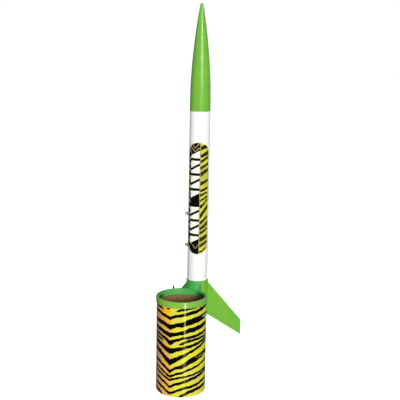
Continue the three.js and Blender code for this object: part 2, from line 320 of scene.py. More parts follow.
def combine(name, shapes, operation="UNION"):
    """One mesh from closed shapes: all joined, or the first with the others cut away."""
    objects = []
    for i, shape in enumerate(shapes):
        mesh = shape if isinstance(shape, bpy.types.Mesh) else to_mesh(name, shape)
        objects.append(add(f"{name}_{i}", mesh))
    whole = objects[0]
    for other in objects[1:]:
        step = whole.modifiers.new("step", "BOOLEAN")
        step.operation = operation
        step.solver = "EXACT"
        step.object = other
    depsgraph = bpy.context.evaluated_depsgraph_get()
    result = bpy.data.meshes.new_from_object(whole.evaluated_get(depsgraph))
    result.name = name
    for used in objects:
        bpy.data.objects.remove(used)
    return result


def piece(name, shape, surface, slot, body, *nodes, sharp=35):
    """A finished piece that stands for CAD nodes and rides on a body, unless body is None."""
    mesh = shape if isinstance(shape, bpy.types.Mesh) else to_mesh(name, shape)
    mesh.materials.clear()
    mesh.materials.append(surface)
    mesh.shade_smooth()
    mesh.set_sharp_from_angle(angle=math.radians(sharp))
    made = add(name, mesh)
    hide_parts(*nodes)
    if body:
        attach(made, body)
    return made


# ---- materials -----------------------------------------------------------------------


def colour(code):
    """A colour written as six hexadecimal digits, as linear light."""
    channels = [int(code[i:i + 2], 16) / 255 for i in (0, 2, 4)]
    linear = [c / 12.92 if c <= 0.04045 else ((c + 0.055) / 1.055) ** 2.4 for c in channels]
    return (*linear, 1.0)


class Surface:
    """A material's node tree, with short calls for the nodes that the surfaces here use."""

    def __init__(self, name, **sockets):
        self.material = bpy.data.materials.new(name)
        self.material.use_nodes = True
        self.tree = self.material.node_tree
        self.shader = self.tree.nodes["Principled BSDF"]
        for socket, value in sockets.items():
            self.shader.inputs[socket.replace("_", " ")].default_value = value
        self.place = self.node("ShaderNodeTexCoord").outputs["Object"]

    def node(self, kind, inputs=None, **settings):
        """A node whose inputs are linked to sockets or set to numbers, by index or name."""
        made = self.tree.nodes.new(kind)
        for key, value in settings.items():
            setattr(made, key, value)
        for key, value in (inputs or {}).items():
            if isinstance(value, bpy.types.NodeSocket):
                self.tree.links.new(value, made.inputs[key])
            else:
                made.inputs[key].default_value = value
        return made

    def math(self, operation, a, b=0.0):
        return self.node("ShaderNodeMath", {0: a, 1: b}, operation=operation).outputs[0]

    def plus(self, a, b):
        return self.math("ADD", a, b)

    def minus(self, a, b):
        return self.math("SUBTRACT", a, b)

    def times(self, a, b):
        return self.math("MULTIPLY", a, b)

    def ramp(self, value, low, high, to_low=0.0, to_high=1.0):
        """value from low..high mapped smoothly to to_low..to_high, and held beyond."""
        inputs = {"Value": value, "From Min": low, "From Max": high}
        inputs.update({"To Min": to_low, "To Max": to_high})
        made = self.node("ShaderNodeMapRange", inputs, interpolation_type="SMOOTHSTEP")
        return made.outputs["Result"]

    def mix(self, factor, a, b):
        inputs = {"Factor": factor, 6: a, 7: b}
        return self.node("ShaderNodeMix", inputs, data_type="RGBA").outputs[2]

    def shades(self, value, dark, light, low=0.3, high=0.7):
        """The dark colour where value is low, the light one where it is high."""
        return self.mix(self.ramp(value, low, high), colour(dark), colour(light))

    def noise(self, scale, detail=3.0, stretch=(1, 1, 1)):
        """Cloudy noise from 0 to 1; scale is in features per metre."""
        place = self.node("ShaderNodeMapping", {"Vector": self.place, "Scale": stretch})
        inputs = {"Vector": place.outputs[0], "Scale": scale, "Detail": detail}
        return self.node("ShaderNodeTexNoise", inputs).outputs["Fac"]

    def attribute(self, name):
        return self.node("ShaderNodeAttribute", attribute_name=name).outputs["Fac"]

    def parts(self, axis=(0, 0)):
        """The place's x and y from an upright axis, and its z, in metres."""
        x, y, z = self.node("ShaderNodeSeparateXYZ", {0: self.place}).outputs
        return self.minus(x, axis[0]), self.minus(y, axis[1]), z

    def beside(self, axis, azimuth):
        """How far right of an upright axis a point is, as seen from an azimuth, in metres."""
        turn = math.radians(azimuth)
        x, y, _ = self.parts(axis)
        return self.plus(self.times(x, math.cos(turn)), self.times(y, math.sin(turn)))

    def from_axis(self, axis):
        """How far from an upright axis a point is, in metres."""
        x, y, _ = self.parts(axis)
        return self.math("SQRT", self.plus(self.times(x, x), self.times(y, y)))

    def spiral(self, axis, pitch, gap):
        """1 on the thin helical seam of a wound tube, else 0."""
        x, y, height = self.parts(axis)
        turns = self.math("DIVIDE", self.math("ARCTAN2", y, x), TURN)
        phase = self.plus(self.math("DIVIDE", height, pitch), turns)
        from_seam = self.math("PINGPONG", phase, 0.5)
        return self.ramp(from_seam, 0.0, gap / pitch, 1.0, 0.0)

    def finish(self, base, roughness=None, height=None, depth=0.0001):
        """Links the colour, and where given the roughness and the bump's height."""
        self.tree.links.new(base, self.shader.inputs["Base Color"])
        if roughness is not None:
            self.tree.links.new(roughness, self.shader.inputs["Roughness"])
        if height is not None:
            bump = self.node("ShaderNodeBump", {"Height": height, "Distance": depth})
            self.tree.links.new(bump.outputs[0], self.shader.inputs["Normal"])
        return self.material


def lime_plastic(name, shade, light):
    """Moulded plastic with a faint cloudiness and a satin finish: its shader, colour and gloss."""
    s = Surface(name, Specular_IOR_Level=0.3)
    return s, s.shades(s.noise(28), shade, light), s.ramp(s.noise(140), 0.3, 0.7, 0.27, 0.36)


def mould_finish(s, base, rough):
    """The mould's own very fine grain over a plastic's colour and gloss."""
    return s.finish(base, rough, s.noise(2600, 2), 0.00002)


def ring_shade(s, z):
    """1 low inside the fin can's ring, on the two flanks that its own rim shades."""
    beside = s.beside(CARD_AXIS, MAIN_AZIMUTH)
    right = s.ramp(beside, 20 * MM, 26 * MM)
    right = s.times(right, s.ramp(z, RING_TOP - 0.6 * MM, RING_TOP - 3.0 * MM))
    left = s.ramp(beside, -14 * MM, -20 * MM)
    left = s.times(left, s.ramp(z, RING_TOP - 2.4 * MM, RING_TOP - 4.4 * MM))
    inside = s.ramp(s.from_axis(CARD_AXIS), RING_INNER + 0.5 * MM, RING_INNER + 0.2 * MM)
    return s.times(s.math("MAXIMUM", right, left), inside)


def ring_lime():
    """The fin can's lime, with painted light: lighter and yellower round the front of its ring,
    where the light falls, with cool painted shade behind; glossy in front and dull behind.

    It has painted shade on the web's sides and on the ring's inner flanks, where little light
    reaches, and the gate stub on the ring is painted as dark as the web's sides."""
    s, warm, rough = lime_plastic("fin_can_lime", "74ae40", "80b542")
    # Painted light: the lit lime goes round the front of the ring, and this cool, darker copy
    # behind it is painted shade.
    cool = s.shades(s.noise(28), "43a04a", "4ca851")
    x, y, z = s.parts()
    forward = s.ramp(s.minus(s.times(x, 0.5), y), 35 * MM, 75 * MM)
    base = s.mix(forward, cool, warm)
    across = s.math("ABSOLUTE", s.minus(x, BODY_AXIS[0]))
    web_side_shade = s.math("COMPARE", across, WEB_HALF_WIDTH)
    web_side_shade.node.inputs[2].default_value = 0.6 * MM
    web_side_shade = s.times(web_side_shade, s.ramp(y, WEB_FRONT, WEB_FRONT + 0.3 * MM))
    web_side_shade = s.times(web_side_shade, s.ramp(z, RING_TOP + 7 * MM, RING_TOP + 3 * MM))
    left_of = s.ramp(x, CARD_AXIS[0] - 13 * MM, CARD_AXIS[0] - 14 * MM)
    stub = s.times(left_of, s.ramp(z, RING_TOP + 0.2 * MM, RING_TOP + 0.4 * MM))
    # Painted shade on the web's sides; the gate stub on the ring is painted the same dark.
    base = s.mix(s.math("MAXIMUM", web_side_shade, stub), base, colour("123f16"))
    # Painted shade low on the ring's inner flanks.
    base = s.mix(s.times(ring_shade(s, z), 0.85), base, colour("06260a"))
    return mould_finish(s, base, s.plus(rough, s.ramp(forward, 0.0, 1.0, 0.25, -0.12)))


def white_card():
    """Smooth coated paper, with faint fibres and its helical seam."""
    s = Surface("white_card", Coat_Weight=0.3, Coat_Roughness=0.15)
    fibre = s.noise(900, 4, (1, 1, 0.15))
    seam = s.spiral(BODY_AXIS, 76 * MM, 0.5 * MM)
    paper = s.shades(fibre, "efefef", "f8f8f8")
    base = s.mix(s.times(seam, 0.25), paper, colour("d6d6d4"))
    height = s.minus(s.times(fibre, 0.2), seam)
    return s.finish(base, s.ramp(fibre, 0.3, 0.7, 0.3, 0.4), height, 0.00004)


def wound_card(name, axis, pitch, dark, light, shaded=0.0):
    """Bare wound card, with fibres along the tube's winding and its helical seam.

    shaded is how much painted shade darkens its flanks, as seen from the main light."""
    s = Surface(name)
    fibre = s.noise(1400, 5, (1, 1, 0.2))
    seam = s.spiral(axis, pitch, 0.6 * MM)
    base = s.shades(fibre, dark, light, 0.25, 0.75)
    base = s.mix(s.ramp(s.noise(60), 0.35, 0.8, 0.0, 0.35), base, colour(dark))
    base = s.mix(s.times(seam, 0.55), base, colour("3b2814"))
    # Painted shade on the flanks, as seen from the main light.
    flank = s.ramp(s.math("ABSOLUTE", s.beside(axis, MAIN_AZIMUTH)), 16 * MM, 27 * MM)
    base = s.mix(s.times(flank, shaded), base, colour("1c1408"))
    height = s.minus(s.times(fibre, 0.5), seam)
    return s.finish(base, s.ramp(fibre, 0.3, 0.7, 0.75, 0.92), height)


def pressed_clay():
    """Fine grit, with darker patches."""
    s = Surface("clay")
    grit = s.noise(2400, 5)
    base = s.shades(grit, "8d8272", "aaa08f", 0.35, 0.7)
    base = s.mix(s.ramp(s.noise(240), 0.5, 0.8, 0.0, 0.4), base, colour("8d8272"))
    return s.finish(base, s.ramp(grit, 0.3, 0.7, 0.85, 0.98), grit)


def grainy(name, shades, grain, rough, depth, **sockets):
    """A surface whose one noise gives its shades, its relief and its roughness from rough.

    shades are its dark and light colour, and the noise's range from one to the other where
    that isn't the usual one. grain is the noise's scale, detail and stretch."""
    s = Surface(name, **sockets)
    noise_there = s.noise(*grain)
    base = s.shades(noise_there, *shades)
    return s.finish(base, s.ramp(noise_there, 0.3, 0.7, *rough), noise_there, depth)


def thread(name, dark, light):
    """Spun or braided thread, fuzzy and matt."""
    return grainy(name, (dark, light), (2800, 4), (0.8, 0.95), 0.00008, Sheen_Weight=0.2)


def grey_plastic():
    """Dull moulded plastic."""
    s = Surface("grey_plastic")
    base = s.mix(s.noise(300), colour("b8b5af"), colour("c8c5bf"))
    return s.finish(base, s.ramp(s.noise(500), 0.3, 0.7, 0.38, 0.52), s.noise(3000), 0.00002)


def printed_wrap():
    """Black stripes on yellow, with an orange left flank and a few pale streaks.

    It is duller over its lower half."""
    s = Surface("printed_wrap", Specular_IOR_Level=0.12, Specular_Tint=(1, 1, 0.6, 1))
    ink = s.ramp(s.attribute("ink"), -0.12, 0.12)
    streak = s.ramp(s.attribute("streak"), -0.25, 0.25)
    lean = s.attribute("lean")
    rise = s.attribute("rise")
    top = s.ramp(rise, 84.0, 104.0)
    right = s.shades(s.noise(55), "dad52a", "d2cd4c", 0.35, 0.65)
    left = s.shades(lean, "d0a474", "e6b248", -50.0, -4.0)
    amber = s.shades(lean, "f09a3c", "f4b81c", -26.0, -10.0)
    left = s.mix(s.times(top, s.ramp(lean, -44.0, -20.0)), left, amber)
    base = s.mix(s.ramp(lean, -3.0, 8.0), left, right)
    base = s.mix(streak, base, colour("a8a58a"))
    base = s.mix(ink, base, s.shades(lean, "160502", "040302", -12.0, 2.0))
    dull = s.ramp(rise, 86.0, 58.0, 0.0, 0.13)
    return s.finish(base, s.plus(s.ramp(s.noise(200), 0.3, 0.7, 0.10, 0.15), dull))


def printed_label():
    """Black with white bars left of its seam, and olive stripes on yellow right of it."""
    s = Surface("printed_label", Specular_IOR_Level=0.12)
    side = s.ramp(s.attribute("seam"), -0.4, 0.4)
    ink = s.ramp(s.attribute("ink"), -0.12, 0.12)
    bar = s.ramp(s.attribute("bar"), -0.12, 0.12)
    rule = s.ramp(s.attribute("rule"), -0.1, 0.1)
    cloud = s.noise(70)
    yellow = s.shades(cloud, "ccca3a", "b6b448", 0.35, 0.65)
    peach = s.shades(cloud, "c9a978", "a58a62", 0.35, 0.65)
    olive = s.shades(cloud, "262206", "3d380e")
    base = s.mix(side, peach, yellow)
    base = s.mix(ink, base, s.mix(side, colour("0a0705"), olive))
    base = s.mix(rule, base, colour("a9a878"))
    base = s.mix(bar, base, colour("f6f5ea"))
    return s.finish(base, s.ramp(s.noise(200), 0.3, 0.7, 0.15, 0.22))


LIME = mould_finish(*lime_plastic("lime_plastic", "6bae38", "76b53c"))
# The left fin's lime is a lighter, cooler copy: painted fill light where the main light leaves
# that fin in shadow.
LIME_PAINTED_FILL = mould_finish(*lime_plastic("lime_painted_fill", "54b656", "5ebe5e"))  # the left fin's
RING_LIME = ring_lime()
WHITE = white_card()
KRAFT = wound_card("kraft_card", CARD_AXIS, 64 * MM, "6a4e26", "927540", 0.7)
GREY = grey_plastic()
MOTOR_PAPER = wound_card("motor_paper", BODY_AXIS, 24 * MM, "b3a281", "d2c5a6")
RING_CARD = wound_card("ring_card", BODY_AXIS, 48 * MM, "7a5a33", "9a7747")
CLAY = pressed_clay()
POWDER = grainy(
    "pressed_powder", ("1e1e20", "4a4a4c", 0.4, 0.75), (3600, 4), (0.7, 0.95), 0.0001,
)
# Creped paper, with fine crinkles across the tape.
TAPE = grainy("masking_tape", ("cdb98a", "e2d3a8"), (500, 4, (1, 1, 0.3)), (0.6, 0.8), 0.0002)
TISSUE = grainy("tissue", ("dfe3e2", "f4f5f2"), (700, 6), (0.88, 0.98), 0.0002)
# Thin orange plastic film, glossy, with fine creases from its folding.
FILM = grainy(
    "canopy_film", ("d9631c", "f08a3a"), (160, 6, (1, 1, 0.5)), (0.18, 0.4), 0.0006,
    Sheen_Weight=0.1,
)
COTTON = thread("cotton_line", "d8d5c8", "f0eee4")
ELASTIC = thread("elastic_cord", "cfccbf", "ecebe2")
WRAP_PRINT = printed_wrap()
LABEL_PRINT = printed_label()

# ---- nose ----------------------------------------------------------------------------

OGIVE_LENGTH = 133 * MM
TIP_RADIUS = 1.9 * MM
NOSE_WALL = 1.3 * MM
SHOULDER_LENGTH = 19.5 * MM
NOSE_BASE = BODY_FORE + 0.1 * MM


def ogive(inset, steps):
    """The nose's outline from its tip to its base: a tangent ogive with a round tip."""
    arc_radius = (BODY_RADIUS ** 2 + OGIVE_LENGTH ** 2) / (2 * BODY_RADIUS)
    centre = BODY_RADIUS - arc_radius
    tip_height = math.sqrt((arc_radius - TIP_RADIUS) ** 2 - centre ** 2)
    meeting = math.asin(tip_height / (arc_radius - TIP_RADIUS))
    tip = TIP_RADIUS - inset
    points = []
    for k in range(9):
        turn = math.pi / 2 + (meeting - math.pi / 2) * k / 8
        radius = tip * math.cos(turn) if k else 0.0
        points.append((radius, NOSE_BASE + tip_height + tip * math.sin(turn)))
    for k in range(1, steps + 1):
        turn = meeting * (1 - k / steps)
        radius = centre + (arc_radius - inset) * math.cos(turn)
        points.append((radius, NOSE_BASE + (arc_radius - inset) * math.sin(turn)))
    return points


def nose():
    """The hollow ogive on its shoulder, which slides into the body tube."""
    shoulder = BODY_BORE - 0.1 * MM
    outside = ogive(0.0, 60)
    inside = ogive(NOSE_WALL, 20)[9:]
    low = NOSE_BASE - SHOULDER_LENGTH
    edge = 0.25 * MM
    step = [
        (BODY_RADIUS - edge, NOSE_BASE),
        (shoulder, NOSE_BASE),
        (shoulder, low + 0.6 * MM),
        (shoulder - 0.3 * MM, low),
        (shoulder - NOSE_WALL, low),
    ]
    outside[-1] = (BODY_RADIUS, NOSE_BASE + edge)
    profile = [*outside, *step, *reversed(inside), (0.0, inside[0][1] + 1 * MM)]
    return lathe(profile, 128, BODY_AXIS)


piece("nose_shell", nose(), LIME, "lime_plastic", "nose", "nose_cone")

# ---- body tube and launch lugs -------------------------------------------------------

piece(
    "white_tube", pipe(BODY_BORE, BODY_RADIUS, BODY_AFT, BODY_FORE, 160, BODY_AXIS, 0.1 * MM),
    WHITE, "white_card", "airframe", "body_tube",
)

ROD_RADIUS = 1.6 * MM
LUG_ANGLE = 180
LUG_HALF_ANGLE = 9
EYE_HALF_HEIGHT = 1.75 * MM
FOOT_HALF_HEIGHT = 2.5 * MM


def launch_lug(name):
    """An eye for the launch rod on a foot that hugs the body tube."""
    low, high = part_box(name)
    middle = (low.z + high.z) / 2
    eye_radius = ROD_RADIUS + 0.7 * MM
    rod_axis = (low.x + eye_radius, BODY_AXIS[1])
    ends = (middle - EYE_HALF_HEIGHT, middle + EYE_HALF_HEIGHT)
    eye = pipe(0.9 * MM, eye_radius, *ends, 48, rod_axis, 0.3 * MM)
    foot_inner = BODY_RADIUS + 0.06 * MM

    def foot_reach(angle):
        return FOOT_HALF_HEIGHT - 0.05 * MM * abs(angle - LUG_ANGLE)

    foot = wall_patch(
        foot_inner, foot_inner + 0.8 * MM,
        (LUG_ANGLE - LUG_HALF_ANGLE, LUG_ANGLE + LUG_HALF_ANGLE),
        lambda angle: middle - foot_reach(angle), lambda angle: middle + foot_reach(angle), 12,
    )
    bore = plug(ROD_RADIUS + 0.2 * MM, low.z - MM, high.z + MM, 48, rod_axis)
    solid = combine(name + "_eye", [combine(name + "_solid", [eye, foot]), bore], "DIFFERENCE")
    piece(name + "_moulding", solid, GREY, "grey_plastic", "airframe", name)


launch_lug("launch_lug_lower")
launch_lug("launch_lug_upper")

# ---- fin can -------------------------------------------------------------------------


RING_LOW = RING_TOP - RING_HEIGHT
RING_ROOF = RING_TOP - 0.8 * MM  # the channel for the card tube's edge ends here
PEG_ANGLE = 136
PEG_RADIUS = 1.1 * MM
PEG_HEIGHT = 3.9 * MM


def web():
    """The gusset between the sleeve and the ring, sloping up to the sleeve."""
    back = WEB_FRONT + 5.2 * MM
    low = RING_LOW + 0.6 * MM
    corners = [
        (WEB_FRONT, low), (back, low), (back, RIM + 122.6 * MM), (WEB_FRONT, RING_TOP - 0.4 * MM),
    ]
    outline = soften(corners, 0.4 * MM)
    vertices, count = [], len(outline)
    for side in (-1, 1):
        vertices += [(BODY_AXIS[0] + side * WEB_HALF_WIDTH, y, z) for y, z in outline]
    faces = [(k, (k + 1) % count, (k + 1) % count + count, k + count) for k in range(count)]
    faces += [tuple(range(count))[::-1], tuple(range(count, 2 * count))]
    body_way = plug(SLEEVE_INNER + 0.2 * MM, low - MM, SLEEVE_TOP, 144, BODY_AXIS)
    card_way = plug(RING_OUTER - 0.3 * MM, low - MM, RING_ROOF + 0.3 * MM, 192, CARD_AXIS)
    return combine("web", [(vertices, faces), body_way, card_way], "DIFFERENCE")


def peg():
    """The upright stub that the mould's gate leaves on the ring's rear rim."""
    turn, track = math.radians(PEG_ANGLE), RING_OUTER - 1.2 * MM
    axis = (CARD_AXIS[0] + track * math.cos(turn), CARD_AXIS[1] + track * math.sin(turn))
    low, top = RING_ROOF + 0.3 * MM, RING_TOP + PEG_HEIGHT
    profile = [
        (0.0, low), (PEG_RADIUS, low), (PEG_RADIUS - 0.15 * MM, top - 0.3 * MM),
        (PEG_RADIUS - 0.5 * MM, top), (0.0, top),
    ]
    return lathe(profile, 32, axis)


def fin_can():
    """The sleeve round the body tube, and the ring that caps the card tube, on its web."""
    sleeve = pipe(SLEEVE_INNER, SLEEVE_OUTER, BODY_AFT + 0.4 * MM, SLEEVE_TOP, 144, BODY_AXIS)
    lip = RING_OUTER - 0.55 * MM
    skirt = RING_INNER + 0.7 * MM
    outline = [
        (RING_INNER, RING_LOW), (skirt, RING_LOW), (skirt, RING_ROOF), (lip, RING_ROOF),
        (lip, RING_LOW), (RING_OUTER, RING_LOW), (RING_OUTER, RING_TOP), (RING_INNER, RING_TOP),
    ]
    ring = lathe(soften(outline, 0.55 * MM, 5), 192, CARD_AXIS)
    return combine("fin_can_moulding", [sleeve, ring, peg(), web()])


piece("fin_can_moulding", fin_can(), RING_LIME, "lime_plastic", "airframe", "fin_can")

# ---- fins ----------------------------------------------------------------------------

FIN_ANGLE = 16.3
FIN_HALF_THICKNESS = 0.65 * MM
FIN_ROOT = SLEEVE_OUTER + 0.1 * MM
FIN_TIP = 54.8 * MM
FIN_ROOT_EDGES = (RIM + 81.4 * MM, RIM + 123.3 * MM)
FIN_TIP_EDGES = (RIM + 57.9 * MM, RIM + 77.0 * MM)
FIN_ROUNDING = 0.7 * MM
SADDLE_AHEAD, SADDLE_BEHIND = 62, 12  # degrees that it reaches towards the ring and away
SADDLE_LOW = RIM + 84 * MM


def eased(count, reach):
    """Shares from 0 to 1, packed closer at both ends."""
    shares = [0.5 - 0.5 * math.cos(math.pi * k / count) for k in range(count + 1)]
    return [reach * share + (1 - reach) * k / count for k, share in enumerate(shares)]


def blade(angle):
    """The fin's plate: round-edged, and a little thinner to the tip."""
    out = outward(angle)
    across = Vector((-out.y, out.x, 0))
    axis = Vector((*BODY_AXIS, 0))
    stations, chords = eased(44, 0.8), eased(44, 0.9)
    sweep_slope = (FIN_ROOT_EDGES[1] - FIN_TIP_EDGES[1]) / (FIN_TIP - FIN_ROOT)
    lead_cosine = 1 / math.hypot(1, sweep_slope)
    trail_cosine = 0.87
    vertices, index = [], {}
    for i, u in enumerate(stations):
        radius = FIN_ROOT + (FIN_TIP - FIN_ROOT) * u
        low = FIN_ROOT_EDGES[0] + (FIN_TIP_EDGES[0] - FIN_ROOT_EDGES[0]) * u
        high = FIN_ROOT_EDGES[1] + (FIN_TIP_EDGES[1] - FIN_ROOT_EDGES[1]) * u
        for j, v in enumerate(chords):
            height = low + (high - low) * v
            inset = min(
                (height - low) * trail_cosine, (high - height) * lead_cosine, FIN_TIP - radius,
            )
            share = min(max(inset, 0.0) / FIN_ROUNDING, 1.0)
            half = FIN_HALF_THICKNESS * (1 - 0.2 * u) * math.sqrt(1 - (1 - share) ** 2)
            middle = axis + out * radius + Vector((0, 0, height))
            for side in (1, -1):
                if share == 0.0 and side < 0:
                    index[i, j, -1] = index[i, j, 1]
                    continue
                index[i, j, side] = len(vertices)
                vertices.append(middle + across * half * side)
    faces = []
    for side in (1, -1):
        for i in range(len(stations) - 1):
            for j in range(len(chords) - 1):
                corners = ((i, j), (i + 1, j), (i + 1, j + 1), (i, j + 1))
                faces.append([index[p, q, side] for p, q in corners])
    root = [index[0, j, 1] for j in range(len(chords))]
    root += [index[0, j, -1] for j in range(len(chords) - 2, 0, -1)]
    faces.append(root)
    return vertices, faces


def saddle(fin_angle, side):
    """The bent flange at the fin's root, wider towards the ring and slanting down to the fin."""
    rise = RING_TOP - 5.9 * MM - SADDLE_LOW

    def edge(angle):
        away = (fin_angle - angle) * side
        share = away / SADDLE_AHEAD if away > 0 else -away / SADDLE_BEHIND
        return SADDLE_LOW + rise * min(share, 1.0)

    first = fin_angle - (SADDLE_AHEAD if side > 0 else SADDLE_BEHIND)
    return wall_patch(
        SLEEVE_OUTER + FIT, SLEEVE_OUTER + FIT + 0.35 * MM,
        (first, first + SADDLE_AHEAD + SADDLE_BEHIND),
        edge, lambda angle: SLEEVE_TOP - 0.4 * MM, 60,
    )


def fin(name, side, surface):
    """One fin with its saddle; side is 1 on the right and -1 on the left."""
    angle = FIN_ANGLE if side > 0 else 180 - FIN_ANGLE
    solid = combine(name, [saddle(angle, side), blade(angle)])
    piece(name + "_blade", solid, surface, "lime_plastic", "airframe", name, sharp=50)


fin("fin_right", 1, LIME)
fin("fin_left", -1, LIME_PAINTED_FILL)

# ---- stabilising tube ----------------------------------------------------------------

piece(
    "kraft_tube", pipe(CARD_OUTER - CARD_WALL, CARD_OUTER, CARD_LOW, CARD_TOP, 192, CARD_AXIS),
    KRAFT, "kraft_card", "airframe", "stabiliser_tube",
)

# ---- printed sheets ------------------------------------------------------------------


def printed_sheet(name, inner, outer, angles, low, high, grid, axis, fields):
    """A thin sheet on an upright cylinder whose outer face is a fine grid.

    fields(angle, height) gives named arrays, from angles in degrees and heights in metres,
    that are stored on the sheet for its material to read."""
    columns, rows = grid
    full = angles[1] - angles[0] >= 360
    count = columns if full else columns + 1
    spans = angles[0] + (angles[1] - angles[0]) * np.arange(count) / columns
    lows = np.array([low(a) for a in spans])
    highs = np.array([high(a) for a in spans])
    height = lows[:, None] + (highs - lows)[:, None] * np.linspace(0, 1, rows + 1)
    inner_height = np.stack([lows, highs], 1)
    all_angles = np.concatenate([np.repeat(spans, rows + 1), np.repeat(spans, 2)])
    all_heights = np.concatenate([height.ravel(), inner_height.ravel()])
    radius = np.where(np.arange(len(all_angles)) < height.size, outer, inner)
    turn = np.radians(all_angles)
    places = np.stack(
        [axis[0] + radius * np.cos(turn), axis[1] + radius * np.sin(turn), all_heights], 1
    )
    faces = []
    base = height.size
    for i in range(columns):
        a, b = i * (rows + 1), (i + 1) % count * (rows + 1)
        c, d = base + 2 * i, base + 2 * ((i + 1) % count)
        for j in range(rows):
            faces.append((a + j, b + j, b + j + 1, a + j + 1))
        faces += [(c, c + 1, d + 1, d), (a, c, d, b), (a + rows, b + rows, d + 1, c + 1)]
    if not full:
        last, end = (count - 1) * (rows + 1), base + 2 * count - 1
        faces.append((*range(rows + 1), base + 1, base))
        faces.append((*range(last, last + rows + 1), end, end - 1))
    mesh = to_mesh(name, (places.tolist(), faces))
    for field, values in fields(all_angles, all_heights).items():
        stored = mesh.attributes.new(field, "FLOAT", "POINT")
        stored.data.foreach_set("value", values.astype(np.float32))
    return mesh


OUTSIDE = -5.0  # a depth that is well outside every shape


def stripe(along, level, stops, heights_there, widths_there, seed, swell=0.0):
    """How far inside a stripe each point is, in millimetres; less than 0 outside.

    The stripe is drawn through its heights and full widths at the stops, in degrees along
    it. It begins at the first stop, with a point unless that is 0."""
    middle = np.interp(along, stops, heights_there)
    middle += 0.20 * np.sin(along * 0.31 + seed * 2.1) + 0.10 * np.sin(along * 0.83 + seed)
    half = np.interp(along, stops, widths_there) / 2
    half += 0.12 * np.sin(along * 0.47 + seed * 1.3) + swell
    if stops[0] > 0:
        half *= np.sqrt(np.clip((along - stops[0]) / 8, 0, 1))
    return np.where(along < stops[0], OUTSIDE, half - np.abs(level - middle))


def deepest(along, level, rows, seed, swell=0.0):
    """How far inside the nearest of several stripes each point is; swell widens them all."""
    inside = np.full(along.shape, OUTSIDE)
    for k, (stops, heights_there, widths_there) in enumerate(rows):
        shape = stripe(along, level, stops, heights_there, widths_there, seed + k, swell)
        inside = np.maximum(inside, shape)
    return inside


WRAP_SPINE = 270
WRAP_SWELL = 0.42
LEFT_STOPS = (0, 15, 30, 45, 110, 180)
RIGHT_STOPS = (0, 15, 30, 45, 60, 90, 130, 180)

# The chevrons on the wrap, upwards from the rim: the height of the point on the spine, how
# far the left arm has risen at 15, 30 and 45 degrees and the right arm at 15, 30, 45, 60 and
# 90 degrees, then the widths of the left arm, the point, and the right arm at 15, 45 and 90
# degrees, all in millimetres.
CHEVRONS = [
    (-4.5, (2.5, 8.0, 10.0), (2.0, 7.0, 10.5, 12.2, 14.3), (3.0, 3.0, 2.6, 3.4, 3.2)),
    (4.0, (4.3, 7.4, 9.0), (3.4, 6.8, 8.2, 9.4, 13.0), (2.9, 2.6, 2.4, 2.7, 2.8)),
    (12.0, (5.0, 7.8, 9.5), (4.3, 6.4, 9.2, 10.9, 15.0), (2.7, 2.8, 2.8, 3.1, 3.6)),
    (20.4, (3.6, 6.3, 8.1), (3.1, 4.6, 5.8, 7.3, 9.6), (2.3, 2.4, 1.9, 1.8, 2.2)),
    (24.9, (4.1, 7.5, 9.1), (3.7, 5.9, 9.0, 10.9, 15.4), (2.4, 2.6, 2.3, 2.2, 2.0)),
    (31.3, (5.3, 8.9, 10.7), (5.1, 7.0, 12.4, 14.8, 19.4), (3.4, 3.8, 2.8, 6.6, 6.0)),
    (42.0, (6.2, 11.0, 13.5), (4.9, 8.7, 12.8, 16.0, 21.2), (5.3, 7.2, 5.4, 2.8, 2.6)),
    (56.2, (3.2, 7.0, 8.3), (2.4, 4.4, 6.1, 7.7, 11.2), (4.8, 6.6, 4.4, 3.0, 2.6)),
    (66.4, (5.0, 7.4, 8.6), (3.8, 6.3, 6.8, 7.8, 10.0), (2.6, 5.8, 2.8, 2.7, 2.8)),
    (75.5, (2.9, 4.9, 6.0), (2.3, 3.7, 6.5, 7.4, 10.1), (4.1, 5.2, 3.3, 5.1, 4.6)),
    (85.2, (3.2, 4.4, 5.4), (3.2, 4.2, 6.8, 8.2, 10.6), (4.5, 5.6, 4.1, 6.9, 6.6)),
    (96.2, (2.2, 4.3, 5.8), (3.2, 4.4, 6.3, 7.3, 10.6), (3.0, 3.6, 2.8, 3.6, 3.4)),
]

# Stripes that begin away from the spine: degrees from it, heights and widths.
RIGHT_BRANCHES = [
    ((13, 30, 60, 90, 180), (105.2, 107.1, 109.5, 111.0, 112.0), (1.8, 2.4, 3.0, 3.4, 3.0)),
    (
        (20, 30, 45, 60, 90, 150), (64.8, 66.6, 69.2, 69.9, 71.2, 74.0),
        (2.4, 2.8, 2.6, 2.4, 2.0, 0.4),
    ),
]
LEFT_BRANCHES = [
    ((17, 22, 30, 45, 120), (105.5, 106.0, 107.2, 108.6, 110.0), (1.2, 1.8, 2.6, 2.8, 2.0)),
    ((0, 4, 9, 10), (107.6, 107.4, 107.2, 107.0), (1.0, 1.3, 0.8, -2.0)),
    ((17, 30, 45, 120), (67.4, 69.2, 70.6, 74.0), (1.6, 2.4, 2.6, 1.0)),
]

# Pale streaks within black stripes on the right.
STREAKS = [
    ((40, 55, 70, 90, 110), (71.6, 71.9, 72.4, 73.4, 74.0), (0.5, 0.9, 0.7, 0.2, -2.0)),
    ((60, 75, 90, 110), (46.9, 48.2, 49.4, 50.4), (0.4, 0.8, 0.7, -2.0)),
    ((46, 60, 75, 90, 100), (24.2, 25.6, 27.1, 28.2, 28.8), (0.5, 0.9, 0.7, 0.2, -2.0)),
    ((62, 75, 90, 110), (61.6, 63.2, 64.9, 66.0), (0.4, 0.8, 0.6, -2.0)),
    ((80, 90, 110, 130), (95.9, 95.4, 95.6, 96.0), (2.0, 2.4, 2.0, -2.0)),
]


